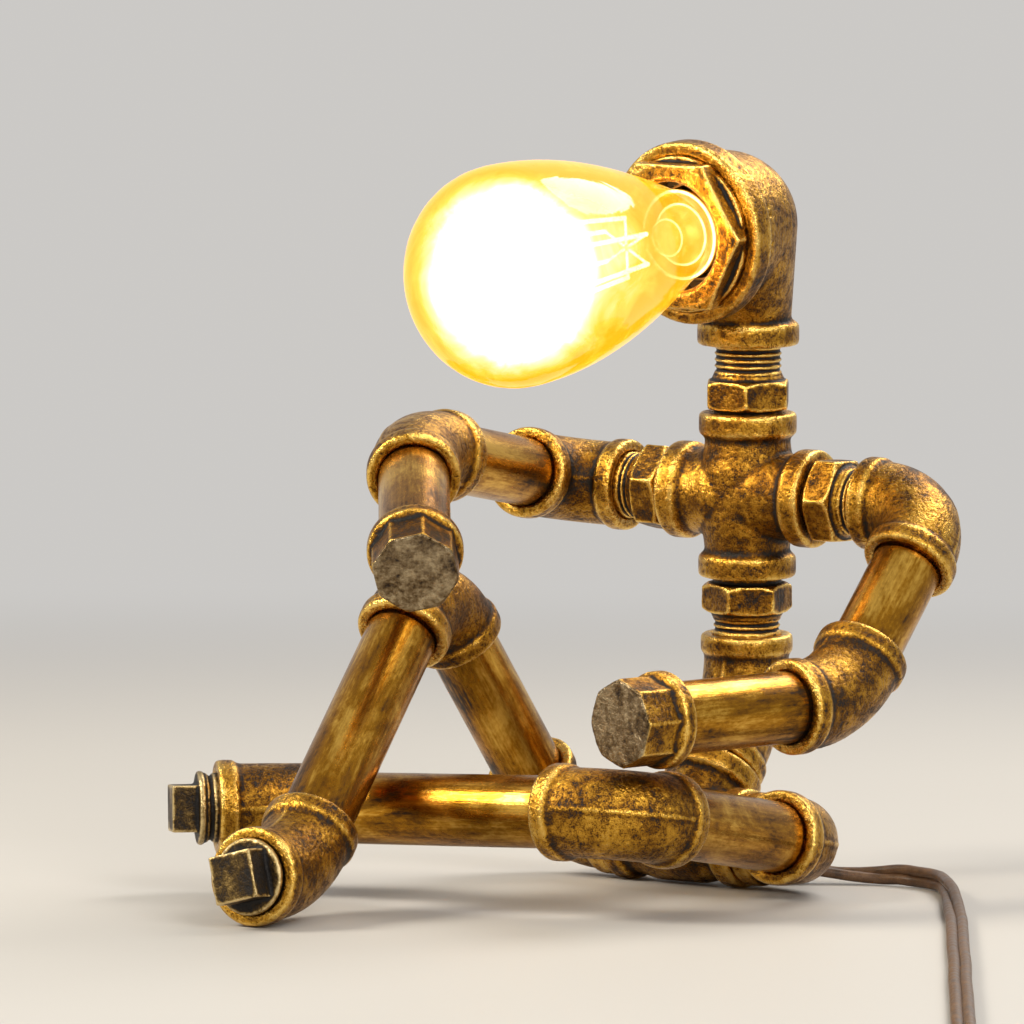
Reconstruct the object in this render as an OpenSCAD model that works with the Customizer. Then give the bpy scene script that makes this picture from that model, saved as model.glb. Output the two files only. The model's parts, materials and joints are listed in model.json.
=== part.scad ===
// Desk lamp in the shape of a seated robot, built from half-inch pipe fittings.
// The robot faces -Y, +X is its left side and +Z is up. It sits on the surface z = 0.

/* [Pipe] */
// Outside diameter of every pipe
pipe_d = 21.3; // [21:0.1:21.6]
// Bore of the pipes and nipples
pipe_bore = 15.5; // [13:0.5:16.5]
// Diameter over the pipe threads
thread_d = 20.95; // [20.8:0.05:21]
// Pitch of the pipe threads
thread_pitch = 1.8; // [1.6:0.1:2]
// Depth of the pipe threads
thread_depth = 1.1; // [0.8:0.1:1.3]
// Length of pipe thread that is screwed into a fitting
thread_len = 11; // [8:0.5:11.5]
// Radial clearance between a thread and its socket
thread_clear = 0.05; // [0.03:0.01:0.08]
// Gap between the shoulder of a pipe and the face of its fitting
face_gap = 0.5; // [0.4:0.1:1]

/* [Elbows] */
// Diameter of an elbow's end bands
elbow_band_d = 28.5; // [27.8:0.1:29]
// Length of an elbow's end bands
elbow_band_len = 6; // [5:0.5:7]
// Outside diameter of the cast bodies between the bands
body_d = 26.2; // [25.8:0.1:26.6]
// Bore through the cast bodies
body_bore = 16; // [14:0.5:18]
// Corner to end face of a 90 degree elbow
reach_90 = 24.5; // [24:0.5:27]
// Corner to end face of a 45 degree elbow
reach_45 = 20.5; // [20:0.5:23]
// Corner to end face of the 45 degree waist elbow
waist_reach = 23.5; // [22:0.5:26]
// Rounding of the bands' edges
band_round = 1.2; // [0.6:0.1:1.6]
// How far the casting seam stands out of a body
seam_proud = 0.4; // [0.2:0.1:0.6]

/* [Cross and tee] */
// Diameter of the bands of the cross and the tee
tee_band_d = 30.2; // [29.6:0.1:31]
// Length of the bands of the cross and the tee
tee_band_len = 7; // [6:0.5:8]
// Centre to end face of the cross
cross_reach = 25.5; // [25:0.5:28]
// Centre to end face of the tee along its run
tee_run_reach = 23.5; // [23:0.5:26]
// Centre to end face of the tee's branch
tee_branch_reach = 24.5; // [24:0.5:27]
// How much the bodies swell where their arms meet
root_swell = 1.6; // [1:0.2:2.4]
// Gap between the tee's branch and the waist elbow
waist_gap = 0.6; // [0.4:0.1:1.5]
// Gap between the tee's run and each hip elbow
hip_gap = 0.5; // [0.4:0.1:1.5]

/* [Hexagon nipples] */
// Width across flats of the hexagon nipples
hex_flats = 24.5; // [24:0.5:26]
// Length of the hexagon
hex_len = 9; // [8:0.5:10]
// Gap between the cross and each hexagon
hex_gap = 1; // [0.6:0.1:1.5]
// Gap between the cross and the hexagon of the waist
waist_hex_gap = 2; // [0.6:0.1:2.5]
// Cross face to shoulder elbow face
shoulder_gap = 16.5; // [15.5:0.5:20]
// Cross face to waist elbow face
spine_gap = 17.8; // [16:0.2:20]
// Cross face to head elbow face
neck_gap = 20.8; // [19:0.2:24]

/* [Head] */
// Diameter of the band round the neck of the head
neck_band_d = 31.4; // [31:0.2:32]
// Lower face of the head to its corner
head_drop = 39; // [38:0.5:42]
// Corner of the head to the face of its mouth
mouth_reach = 33; // [32:0.5:35]
// Diameter of the band round the mouth
mouth_band_d = 56; // [55:0.5:58]
// Length of the band round the mouth
mouth_band_len = 8; // [7:0.5:9]
// Diameter of the round back of the head
skull_d = 45.4; // [44:0.2:47]
// Corner of the head to the middle of its round back
skull_out = 13; // [11:0.5:14]
// How far the mouth looks down from square
mouth_droop = 5; // [0:0.5:6]
// Width across flats of the hexagon face
face_flats = 44; // [43:0.5:46]
// Length of the hexagon face in front of the mouth
face_len = 6.6; // [5:0.2:8]
// Diameter of the hole in the hexagon face
face_hole_d = 33.4; // [32:0.2:34]
// Thread of the hexagon face in the mouth
face_thread_d = 47.8; // [47:0.2:48.4]

/* [Bulb] */
// Largest diameter of the glass
glass_d = 66; // [62:1:68]
// Mouth of the head to the tip of the glass
glass_len = 112; // [108:1:120]
// Mouth of the head to the widest part of the glass
glass_widest = 83; // [76:1:86]
// Thickness of the glass
glass_wall = 0.9; // [0.6:0.1:1.2]
// Diameter over the threads of the bulb's base
base_d = 26.2; // [25.8:0.1:26.4]
// Length of the threaded base
base_len = 22; // [20:0.5:24]
// Number of filament bars
filaments = 6; // [4:1:8]

/* [Arms] */
// Bare pipe of the right upper arm
right_upper_pipe = 43; // [30:0.5:60]
// Bare pipe of the left upper arm
left_upper_pipe = 34; // [25:0.5:50]
// Bare pipe of each forearm
forearm_pipe = 47.4; // [35:0.2:60]
// Diameter of the band of a hand cap
cap_band_d = 28.4; // [28:0.2:29.6]
// Length of the band of a hand cap
cap_band_len = 5; // [4:0.5:6]
// Length of a hand cap
cap_len = 18.1; // [17:0.1:22]
// Width across flats of the octagon of a hand cap
cap_flats = 24; // [23.6:0.2:25]

/* [Legs] */
// Bare pipe of each thigh
thigh_pipe = 55; // [45:0.5:60]
// Bare pipe of each shin
shin_pipe = 79; // [70:0.5:85]
// Width across flats of the square head of a foot plug
plug_flats = 14; // [12:0.5:15]
// Length of the square head of a foot plug
plug_head_len = 8; // [7:0.5:10]
// Diameter of the collar of a foot plug
plug_collar_d = 22.2; // [21.6:0.2:23]
// Bare thread of the left foot plug, which isn't screwed home
left_plug_thread = 3.8; // [2:0.2:5]
// Bare thread of the right foot plug
right_plug_thread = 0.4; // [0.2:0.2:5]

/* [Pose] */
// How far the pelvis leans back
pelvis_lean = 41; // [36:0.5:45]
// How far the waist elbow is turned in the pelvis
waist_turn = 3.2; // [-5:0.2:8]
// How far the chest is turned on the waist
chest_turn = 1.2; // [-5:0.2:8]
// How far the head is turned on the neck
head_turn = -6.5; // [-20:0.5:20]
// Lift of the right upper arm above straight ahead
right_arm_lift = 11.8; // [0:0.2:30]
// Lift of the left upper arm above straight ahead
left_arm_lift = -40.6; // [-45:0.1:-20]
// Turn of the right forearm about the upper arm
right_forearm_turn = -41.2; // [-90:0.2:0]
// Turn of the left forearm about the upper arm
left_forearm_turn = -65.6; // [-90:0.2:-40]
// Lift of the left thigh above straight ahead
left_thigh_lift = 9.2; // [8:0.1:12]
// Turn of the right knee about the thigh
right_knee_turn = -80.5; // [-84:0.5:-76]
// Turn of the left knee about the thigh
left_knee_turn = 2.7; // [0:0.1:6]
// Turn of the right foot about the shin
right_foot_turn = 180.7; // [170:0.1:190]
// Turn of the left foot about the shin
left_foot_turn = 172.6; // [165:0.1:190]

/* [Cord] */
// Width of the flat twin cord
cord_w = 6.4; // [6:0.1:6.8]
// Thickness of the flat twin cord
cord_t = 3.2; // [3:0.1:3.4]
// Diameter of the strain relief where it leaves the pelvis
relief_d = 9; // [8.4:0.2:9.4]
// Length of the strain relief outside the pelvis
relief_len = 24; // [20:0.5:26]
// Middle radius of the coiled cord
coil_r = 36; // [34:0.5:38]
// Length of the in-line switch
switch_len = 56; // [50:1:60]
// Width of the in-line switch
switch_w = 22; // [20:0.5:26]
// Height of the in-line switch
switch_h = 17; // [15:0.5:20]
// Length of the plug's body
plug_body_len = 32; // [30:0.5:36]
// Width of the plug's body
plug_body_w = 35.3; // [34:0.1:37]
// Height of the plug's body
plug_body_h = 13.7; // [13:0.1:15]
// Length of a plug pin outside the body
pin_len = 19; // [18.5:0.5:19.5]
// Diameter of a plug pin
pin_d = 4; // [3.9:0.02:4.1]
// Distance between the plug pins
pin_spacing = 18.6; // [18:0.1:19.2]

/* [Hidden] */
$fn = 96;

// Points of the cord from the strain relief to the switch, from the switch to the coil,
// and from the coil to the plug. A roll of 0 lies flat there and 90 stands on edge.
cord_route = [[41, 97, 4.4], [47.5, 100.8, 3.4], [53.5, 104.2, 3], [59.5, 106.9, 3.1],
    [65.8, 107.9, 3.6], [72, 107.3, 3.4], [78, 105.3, 3.4], [83.4, 101.8, 3.4], [87.6, 97.3, 3.4],
    [93, 90, 3.6], [99, 82, 3.6], [105, 73.8, 3.4], [112.5, 62.8, 2.9], [120, 51.7, 2.4],
    [128.5, 39, 2], [137, 26.4, 1.8], [146.5, 11.4, 1.8], [156, -3.5, 1.8], [175, -33.5, 1.8],
    [194, -63, 1.8], [211.5, -91, 1.8], [228.5, -117.5, 1.8], [245, -143.5, 1.8], [260, -167, 1.8],
    [265.5, -175.5, 1.8], [272, -183, 1.8], [280, -188.8, 2], [289, -192.4, 2.8],
    [298.5, -193.5, 4.1], [307, -193.5, 5.5], [316, -193.5, 6.5]];
cord_rolls = [0, 5, 20, 45, 70, 88, 90, 90, 88, 80, 68, 54, 38, 22, 10, 3,
    0, 0, 0, 0, 0, 0, 0, 0, 0, 0, 0, 0, 0, 0, 0];
link_route = [[372, -193.5, 6.5], [380, -192.8, 5], [389, -189.4, 4], [396.8, -182.7, 3.9],
    [401.4, -174, 3.9], [402.6, -164.5, 4], [402.6, -153, 4], [402.6, -141.5, 4]];
link_rolls = [0, 25, 55, 80, 90, 90, 90, 90];
tail_route = [[401, -127.5, 10.4], [401, -116.5, 10.2], [401, -104.5, 9.2], [401, -93.5, 8],
    [401, -83, 7.1], [401, -73.5, 6.9]];
tail_rolls = [90, 90, 70, 40, 10, 0];
coil_middle = [357, -127.5, 0.8];
coil_columns = 4;
coil_layers = 2;
relief_heading = 30;
relief_tilt = 99;

// Where the pelvis sits, so that the origin is under the middle of the robot
seat_x = 10;
seat_y = 73.7;

overlap = 1;
socket_depth = thread_len + 1.5;
socket_d = thread_d + 2 * thread_clear;
thread_root_d = thread_d - 2 * thread_depth;
bronze = [0.42, 0.31, 0.13];
iron = [0.2, 0.17, 0.13];
brass = [0.75, 0.6, 0.3];

// ---- placing ----

function move(v) = [[1, 0, 0, v[0]], [0, 1, 0, v[1]], [0, 0, 1, v[2]], [0, 0, 0, 1]];
function turn_x(a) = [[1, 0, 0, 0], [0, cos(a), -sin(a), 0], [0, sin(a), cos(a), 0], [0, 0, 0, 1]];
function turn_y(a) = [[cos(a), 0, sin(a), 0], [0, 1, 0, 0], [-sin(a), 0, cos(a), 0], [0, 0, 0, 1]];
function turn_z(a) = [[cos(a), -sin(a), 0, 0], [sin(a), cos(a), 0, 0], [0, 0, 1, 0], [0, 0, 0, 1]];
function along(z) = move([0, 0, z]);

// Frame of a fitting that comes out of the side of the body and leads a limb forward,
// lifted above straight ahead. side is 1 on the left and -1 on the right.
function limb_corner(base, side, out, lift) =
    base * move([side * out, 0, 0]) * turn_y(side * 90) * turn_z(side > 0 ? -90 - lift : lift - 90);

seat = move([seat_x, seat_y, tee_band_d / 2]);
pelvis = seat * turn_x(-pelvis_lean);
into_pelvis = turn_x(pelvis_lean) * move([-seat_x, -seat_y, -tee_band_d / 2]);
waist_corner = pelvis * along(tee_branch_reach + waist_gap + waist_reach) * turn_z(waist_turn - 90);
spine = waist_corner * turn_y(45) * turn_z(90 + chest_turn);
chest = spine * along(waist_reach + spine_gap + cross_reach);
head_corner = chest * along(cross_reach + neck_gap + head_drop) * turn_z(head_turn - 90);
mouth = head_corner * turn_y(90 + mouth_droop) * along(mouth_reach);

shoulder_out = cross_reach + shoulder_gap + reach_90;
hip_out = tee_run_reach + hip_gap + reach_90;

right_shoulder = limb_corner(chest, -1, shoulder_out, right_arm_lift);
left_shoulder = limb_corner(chest, 1, shoulder_out, left_arm_lift);

function arm_elbow_at(shoulder, pipe, turn) =
    shoulder * turn_y(90) * along(reach_90 + pipe + reach_45) * turn_z(turn);
right_arm_corner = arm_elbow_at(right_shoulder, right_upper_pipe, right_forearm_turn);
left_arm_corner = arm_elbow_at(left_shoulder, left_upper_pipe, left_forearm_turn);

function knee_at(hip, turn) = hip * turn_y(90) * along(2 * reach_90 + thigh_pipe) * turn_z(turn);
function foot_at(knee, turn) =
    knee * turn_y(90) * along(reach_90 + shin_pipe + reach_45) * turn_z(turn);
left_hip = limb_corner(seat, 1, hip_out, left_thigh_lift);
left_knee = knee_at(left_hip, left_knee_turn);
left_foot = foot_at(left_knee, left_foot_turn);

// Lowest point of the end band of the right foot when the thigh has a lift. The thigh comes
// down until that band rests on the surface.
function right_leg_foot(lift) =
    foot_at(knee_at(limb_corner(seat, -1, hip_out, lift), right_knee_turn), right_foot_turn);
function foot_low(lift) =
    let (foot = right_leg_foot(lift) * turn_y(45), axis_z = foot[2][2])
    min([for (z = [reach_45 - band_round, reach_45 - elbow_band_len + band_round])
        foot[2][3] + axis_z * z - elbow_band_d / 2 * sqrt(1 - axis_z * axis_z)]);
function resting_lift(low, high, steps) =
    let (middle = (low + high) / 2)
    steps == 0 ? middle
    : foot_low(middle) > 0 ? resting_lift(low, middle, steps - 1)
    : resting_lift(middle, high, steps - 1);
right_thigh_lift = resting_lift(20, 80, 24);
right_hip = limb_corner(seat, -1, hip_out, right_thigh_lift);
right_knee = knee_at(right_hip, right_knee_turn);
right_foot = foot_at(right_knee, right_foot_turn);

module at(frame) {
    multmatrix(frame) children();
}

// ---- shapes that repeat ----

// Points of a rounded corner: centre c, radius r, from angle a0 to a1
function arc(c, r, a0, a1, steps = 4) =
    [for (i = [0:steps]) let (a = a0 + (a1 - a0) * i / steps) c + r * [cos(a), sin(a)]];

// End band of a fitting: its face lies at z = 0 and it runs back towards -z
module end_band(d, len, root_d) {
    rotate_extrude() polygon(concat(
        [[0, 0]],
        arc([d / 2 - band_round, -band_round], band_round, 90, 0),
        arc([d / 2 - band_round, band_round - len], band_round, 0, -60),
        [[root_d / 2 - 0.4, -len - 1.4], [0, -len - 1.4]]));
}

module socket(depth = socket_depth) {
    translate([0, 0, -depth]) cylinder(h = depth + overlap, d = socket_d);
    translate([0, 0, -0.8]) cylinder(h = 0.8 + overlap, d1 = socket_d, d2 = socket_d + 3.2);
}

// Bent tube of an elbow whose ports are at -z and, after the bend, at +z turned by angle
module bend(angle, bend_r, d) {
    start = bend_r * tan(angle / 2);
    translate([bend_r, 0, -start]) rotate([90, 0, 0]) rotate([0, 0, 180 - angle])
        rotate_extrude(angle = angle) translate([bend_r, 0]) circle(d = d);
}

module bend_seam(angle, bend_r) {
    seam_r = 0.55;
    start = bend_r * tan(angle / 2);
    for (side = [-1, 1])
        translate([bend_r, 0, -start]) rotate([90, 0, 0]) rotate([0, 0, 180 - angle])
            rotate_extrude(angle = angle)
                translate([bend_r + side * (body_d / 2 + seam_proud - seam_r), 0])
                    circle(r = seam_r, $fn = 24);
}

module elbow(angle, reach) {
    start = reach - elbow_band_len + overlap;
    bend_r = start / tan(angle / 2);
    difference() {
        union() {
            bend(angle, bend_r, body_d);
            bend_seam(angle, bend_r);
            rotate([180, 0, 0]) translate([0, 0, reach]) end_band(elbow_band_d, elbow_band_len, body_d);
            rotate([0, angle, 0]) translate([0, 0, reach]) end_band(elbow_band_d, elbow_band_len, body_d);
        }
        bend(angle, bend_r, body_bore);
        rotate([180, 0, 0]) translate([0, 0, reach]) socket();
        rotate([0, angle, 0]) translate([0, 0, reach]) socket();
    }
}

// One arm of a cross or tee, swelling towards the centre where it meets the others
module casting_arm(reach) {
    swell_from = body_d / 2 + 6;
    root = body_d / 2 + root_swell;
    rotate_extrude() polygon(concat(
        [[0, -2], [root, -2]],
        [for (i = [0:6]) let (t = i / 6)
            [body_d / 2 + root_swell * (1 - sin(90 * t)), 8 + (swell_from - 8) * t]],
        [[body_d / 2, reach - overlap], [0, reach - overlap]]));
    translate([0, 0, reach]) end_band(tee_band_d, tee_band_len, body_d);
}

module casting_skin(turns, reaches) {
    for (i = [0:len(turns) - 1])
        rotate([0, turns[i], 0]) casting_arm(reaches[i]);
}

// Bored casting with an arm of the given reach at each turn about y, less its children
module casting(turns, reaches) {
    difference() {
        casting_skin(turns, reaches);
        children();
        for (i = [0:len(turns) - 1]) rotate([0, turns[i], 0]) {
            translate([0, 0, -body_bore / 3]) cylinder(h = reaches[i], d = body_bore);
            translate([0, 0, reaches[i]]) socket();
        }
    }
}

// Thread rings between two heights, as grooves in the full thread diameter
module thread(z0, z1) {
    rings = max(1, floor((z1 - z0) / thread_pitch));
    pitch = (z1 - z0) / rings;
    rotate_extrude() polygon(concat(
        [[0, z0], [thread_root_d / 2, z0]],
        [for (i = [0:rings - 1]) for (p = [[thread_root_d / 2, 0.05], [thread_d / 2, 0.45],
            [thread_d / 2, 0.55], [thread_root_d / 2, 0.95]]) [p[0], z0 + (i + p[1]) * pitch]],
        [[thread_root_d / 2, z1], [0, z1]]));
}

// Straight pipe with a plain thread at both ends; its bare part starts at z = 0
module pipe(bare) {
    difference() {
        union() {
            translate([0, 0, face_gap]) cylinder(h = bare - 2 * face_gap, d = pipe_d);
            translate([0, 0, -thread_len]) cylinder(h = bare + 2 * thread_len, d = thread_d);
        }
        translate([0, 0, -thread_len - overlap])
            cylinder(h = bare + 2 * (thread_len + overlap), d = pipe_bore);
    }
}

// Nipple between two faces that are a gap apart; z = 0 is the first face
module close_nipple(gap) {
    difference() {
        translate([0, 0, -thread_len]) cylinder(h = gap + 2 * thread_len, d = thread_d);
        translate([0, 0, -thread_len - overlap])
            cylinder(h = gap + 2 * (thread_len + overlap), d = pipe_bore);
    }
}

module prism(flats, sides, z0, z1, bevel) {
    intersection() {
        translate([0, 0, z0]) rotate([0, 0, 180 / sides])
            cylinder(h = z1 - z0, d = flats / cos(180 / sides), $fn = sides);
        rotate_extrude() polygon([[0, z0 - 0.1], [flats / 2 - 0.1, z0 - 0.1],
            [flats / 2 / cos(180 / sides) + 0.3, z0 + bevel],
            [flats / 2 / cos(180 / sides) + 0.3, z1 - bevel],
            [flats / 2 - 0.1, z1 + 0.1], [0, z1 + 0.1]]);
    }
}

// Nipple with a hexagon near its first face, then bare thread up to the second
module hex_nipple(gap, hex_z = hex_gap) {
    collar = 1.6;
    difference() {
        union() {
            translate([0, 0, -thread_len]) cylinder(h = thread_len + hex_z + overlap, d = thread_d);
            prism(hex_flats, 6, hex_z, hex_z + hex_len, 1.4);
            translate([0, 0, hex_z + hex_len - overlap])
                cylinder(h = collar + overlap, d1 = hex_flats - 1, d2 = thread_d + 0.4);
            thread(hex_z + hex_len + collar - 0.2, gap + 0.3);
            translate([0, 0, gap]) cylinder(h = thread_len, d = thread_d);
        }
        translate([0, 0, -thread_len - overlap])
            cylinder(h = gap + 2 * (thread_len + overlap), d = pipe_bore);
    }
}

// Hollow cap with a round band and an octagonal end; its face lies at z = 0
module hand_cap() {
    difference() {
        union() {
            rotate([180, 0, 0]) end_band(cap_band_d, cap_band_len, cap_flats);
            prism(cap_flats, 8, cap_band_len - overlap, cap_len, 0.9);
        }
        translate([0, 0, -overlap]) cylinder(h = socket_depth + overlap, d = socket_d);
    }
}

// Solid plug with a square head; z = 0 is the face of the fitting that it closes
module foot_plug(collar_z) {
    head_z = collar_z + 1.8;
    top = head_z + plug_head_len;
    translate([0, 0, -thread_len]) cylinder(h = thread_len, d = thread_d);
    thread(-0.3, collar_z + 0.3);
    rotate_extrude() polygon(concat(
        [[0, collar_z]],
        arc([plug_collar_d / 2 - 0.6, collar_z + 0.6], 0.6, -90, 0),
        arc([plug_collar_d / 2 - 1, head_z - 0.8], 1, 0, 60),
        [[plug_flats / 2, head_z + 0.3], [0, head_z + 0.3]]));
    intersection() {
        translate([-plug_flats / 2, -plug_flats / 2, head_z - overlap])
            cube([plug_flats, plug_flats, plug_head_len + overlap]);
        rotate([0, 0, 45]) cylinder(h = top, d1 = 3 * plug_flats, d2 = plug_flats * 1.5, $fn = 4);
    }
}

// ---- pelvis, waist and chest ----

tee_turns = [90, -90, 0];
tee_reaches = [tee_run_reach, tee_run_reach, tee_branch_reach];
relief_neck_d = relief_d - 2;
// The strain relief points away from its end, where the cord starts
relief_end = move(cord_route[0]) * turn_z(relief_heading) * turn_y(relief_tilt);
relief_root = 12;

module pelvis_tee() {
    color(bronze) at(pelvis) casting(tee_turns, tee_reaches)
        at(into_pelvis * relief_end * along(-relief_len - relief_root))
            cylinder(h = relief_root + 8, d = relief_neck_d, $fn = 48);
}

module waist_close_nipple() {
    color(iron) at(pelvis * along(tee_branch_reach)) close_nipple(waist_gap);
}

module waist_elbow() {
    color(bronze) at(waist_corner) elbow(45, waist_reach);
}

module waist_hex_nipple() {
    color(bronze) at(chest * turn_y(180) * along(cross_reach) * turn_z(54))
        hex_nipple(spine_gap, waist_hex_gap);
}

module chest_cross() {
    color(bronze) at(chest)
        casting([0, 90, 180, -90], [cross_reach, cross_reach, cross_reach, cross_reach]);
}

module neck_hex_nipple() {
    color(bronze) at(chest * along(cross_reach) * turn_z(28)) hex_nipple(neck_gap);
}

module right_shoulder_nipple() {
    color(bronze) at(chest * turn_y(-90) * along(cross_reach) * turn_z(15)) hex_nipple(shoulder_gap);
}

module left_shoulder_nipple() {
    color(bronze) at(chest * turn_y(90) * along(cross_reach) * turn_z(56)) hex_nipple(shoulder_gap);
}

// ---- head ----

mouth_wall_d = mouth_band_d - 6;
skull_wall = 2.6;
face_thread_len = 12;
holder_d = 34;

module head_elbow() {
    skull = [skull_out, 0, 0];
    color(bronze) at(head_corner) difference() {
        union() {
            hull() {
                rotate([0, mouth_droop, 0]) translate(skull) sphere(d = skull_d, $fn = 48);
                rotate([0, 90 + mouth_droop, 0]) translate([0, 0, mouth_reach - mouth_band_len - 1])
                    cylinder(h = 2, d = mouth_wall_d, $fn = 48);
            }
            hull() {
                rotate([0, mouth_droop, 0]) translate(skull) sphere(d = skull_d, $fn = 48);
                translate([0, 0, -head_drop + tee_band_len - 1]) cylinder(h = 2, d = body_d, $fn = 48);
            }
            rotate([0, 90 + mouth_droop, 0]) translate([0, 0, mouth_reach])
                end_band(mouth_band_d, mouth_band_len, mouth_wall_d);
            rotate([180, 0, 0]) translate([0, 0, head_drop]) end_band(neck_band_d, tee_band_len, body_d);
        }
        rotate([0, mouth_droop, 0]) translate(skull) sphere(d = skull_d - 2 * skull_wall, $fn = 48);
        rotate([0, 90 + mouth_droop, 0]) translate([0, 0, skull_out])
            cylinder(h = mouth_reach - skull_out + overlap, d = holder_d + 4);
        rotate([0, 90 + mouth_droop, 0]) translate([0, 0, mouth_reach - face_thread_len - 1])
            cylinder(h = face_thread_len + 1 + 6 * overlap, d = face_thread_d + 2 * thread_clear);
        translate([0, 0, -head_drop + 1]) cylinder(h = head_drop, d = body_bore);
        rotate([180, 0, 0]) translate([0, 0, head_drop]) socket();
    }
}

module face_bushing() {
    color(bronze) at(mouth) difference() {
        union() {
            prism(face_flats, 6, face_gap, face_len, 1);
            translate([0, 0, -face_thread_len])
                cylinder(h = face_thread_len + face_gap + 1, d = face_thread_d);
        }
        translate([0, 0, -face_thread_len - 1])
            cylinder(h = face_thread_len + face_len + 2, d = face_hole_d);
        translate([0, 0, face_len - 1.2]) cylinder(h = 1.2 + 0.2, d1 = face_hole_d, d2 = face_hole_d + 2.8);
        translate([0, 0, -face_thread_len - 1])
            cylinder(h = 1 + face_thread_len - 3, d = holder_d + 2 * thread_clear + 1);
    }
}

// ---- lamp holder and bulb, along the mouth's axis ----

shell_d = base_d + 2.4;
shell_depth = base_len + 2;
base_top = 3;
contact_z = base_top - base_len - 4.2;

module holder_body() {
    back = contact_z - 5;
    color([0.12, 0.12, 0.12]) at(mouth) difference() {
        union() {
            translate([0, 0, back]) cylinder(h = -4 - back, d = holder_d);
            translate([0, 0, back - 3]) cylinder(h = 3.5, d1 = 22, d2 = holder_d - 2);
        }
        translate([0, 0, contact_z - 1.5]) cylinder(h = -contact_z, d = shell_d + 1.4);
        translate([0, 0, back - 4]) cylinder(h = 12, d = 3);
    }
}

module screw_profile(d, depth, pitch, z0, turns) {
    polygon(concat(
        [[0, z0]],
        [for (i = [0:turns * 6]) [d / 2 - depth / 2 + depth / 2 * cos(60 * i), z0 + i * pitch / 6]],
        [[0, z0 + turns * pitch]]));
}

module holder_shell() {
    color(brass) at(mouth) difference() {
        translate([0, 0, contact_z]) cylinder(h = -5 - contact_z, d = shell_d + 1.2);
        translate([0, 0, contact_z - 1]) cylinder(h = shell_depth, d = shell_d);
    }
}

module holder_contact() {
    color(brass) at(mouth) {
        translate([0, 0, contact_z - 1.5]) cylinder(h = 0.7, d = 14);
        translate([0, 0, contact_z - 1]) cylinder(h = 1.1, d = 6);
    }
}

// The glass swells out just inside the hexagon's face
glass_neck_r = 13.9;
glass_neck_z = face_len - 2;
glass_cap = glass_len - glass_widest;
function pear(t) = glass_neck_r + (glass_d / 2 - glass_neck_r) * sin(90 * t);
// Half-outline of the glass from its neck to its tip, as [radius, height] points
function glass_outline(inset) = concat(
    [for (i = [0:18]) let (t = i / 18)
        [pear(t) - inset, glass_neck_z + (glass_widest - glass_neck_z) * t]],
    [for (i = [1:11]) let (a = 90 * i / 12)
        [(glass_d / 2 - inset) * cos(a), glass_widest + (glass_cap - inset) * sin(a)]]);

module bulb_glass() {
    color([1, 0.72, 0.3, 0.5]) at(mouth) rotate_extrude() polygon(concat(
        [[glass_neck_r - 1.2, 0.5], [glass_neck_r, 1.5]],
        glass_outline(0),
        [[0, glass_len], [0, glass_len - glass_wall]],
        [for (p = [30:-1:1]) glass_outline(glass_wall)[p - 1]],
        [[glass_neck_r - glass_wall, 1.7], [glass_neck_r - 1.8, 0.5]]));
}

module bulb_base() {
    pitch = 3.6;
    turns = 4;
    z0 = base_top - base_len + 4;
    color(brass) at(mouth) {
        rotate_extrude() screw_profile(base_d, 1.6, pitch, z0, turns);
        translate([0, 0, z0 + turns * pitch - 0.3]) cylinder(h = 1.3, d = base_d - 1.4);
        translate([0, 0, contact_z + 1.6]) cylinder(h = z0 - contact_z - 1.4, d1 = 11, d2 = base_d - 2.5);
        translate([0, 0, contact_z + 0.3]) cylinder(h = 2, d = 9);
    }
}

module bulb_stem() {
    color([1, 0.85, 0.6]) at(mouth) rotate_extrude() polygon([[0, 0.8], [9, 0.8], [8.4, 3],
        [5.2, 8], [3.6, 14], [3, 22], [2.4, 30], [1.6, 48], [1.4, 65], [0, 66]]);
}

// Filament bars in a cage round the stem, wider at the top, with the wires that hold them
module bulb_filaments() {
    low_r = 9;
    high_r = 14;
    wire_r = 1.1;
    wire_rise = 20;
    low_z = 28;
    high_z = 85;
    lean = atan((high_r - low_r) / (high_z - low_z));
    length = (high_z - low_z) / cos(lean);
    color([1, 0.8, 0.35]) at(mouth) {
        for (i = [0:filaments - 1]) rotate([0, 0, i * 360 / filaments]) {
            translate([low_r, 0, low_z]) rotate([0, lean, 0]) cylinder(h = length, d = 1.4, $fn = 16);
            translate([wire_r, 0, low_z]) rotate([0, 90, 0])
                cylinder(h = low_r - wire_r, d = 0.8, $fn = 16);
            translate([wire_r, 0, high_z - wire_rise])
                rotate([0, atan((high_r - wire_r) / wire_rise), 0])
                    cylinder(h = norm([high_r - wire_r, wire_rise]), d = 0.8, $fn = 16);
        }
    }
}

// ---- arms ----

module right_shoulder_elbow() {
    color(bronze) at(right_shoulder) elbow(90, reach_90);
}

module right_upper_arm() {
    color(bronze) at(right_shoulder * turn_y(90) * along(reach_90)) pipe(right_upper_pipe);
}

module right_arm_elbow() {
    color(bronze) at(right_arm_corner) elbow(45, reach_45);
}

module right_forearm() {
    color(bronze) at(right_arm_corner * turn_y(45) * along(reach_45)) pipe(forearm_pipe);
}

module right_hand_cap() {
    color(bronze) at(right_arm_corner * turn_y(45) * along(reach_45 + forearm_pipe) * turn_z(7)) hand_cap();
}

module left_shoulder_elbow() {
    color(bronze) at(left_shoulder) elbow(90, reach_90);
}

module left_upper_arm() {
    color(bronze) at(left_shoulder * turn_y(90) * along(reach_90)) pipe(left_upper_pipe);
}

module left_arm_elbow() {
    color(bronze) at(left_arm_corner) elbow(45, reach_45);
}

module left_forearm() {
    color(bronze) at(left_arm_corner * turn_y(45) * along(reach_45)) pipe(forearm_pipe);
}

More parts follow.
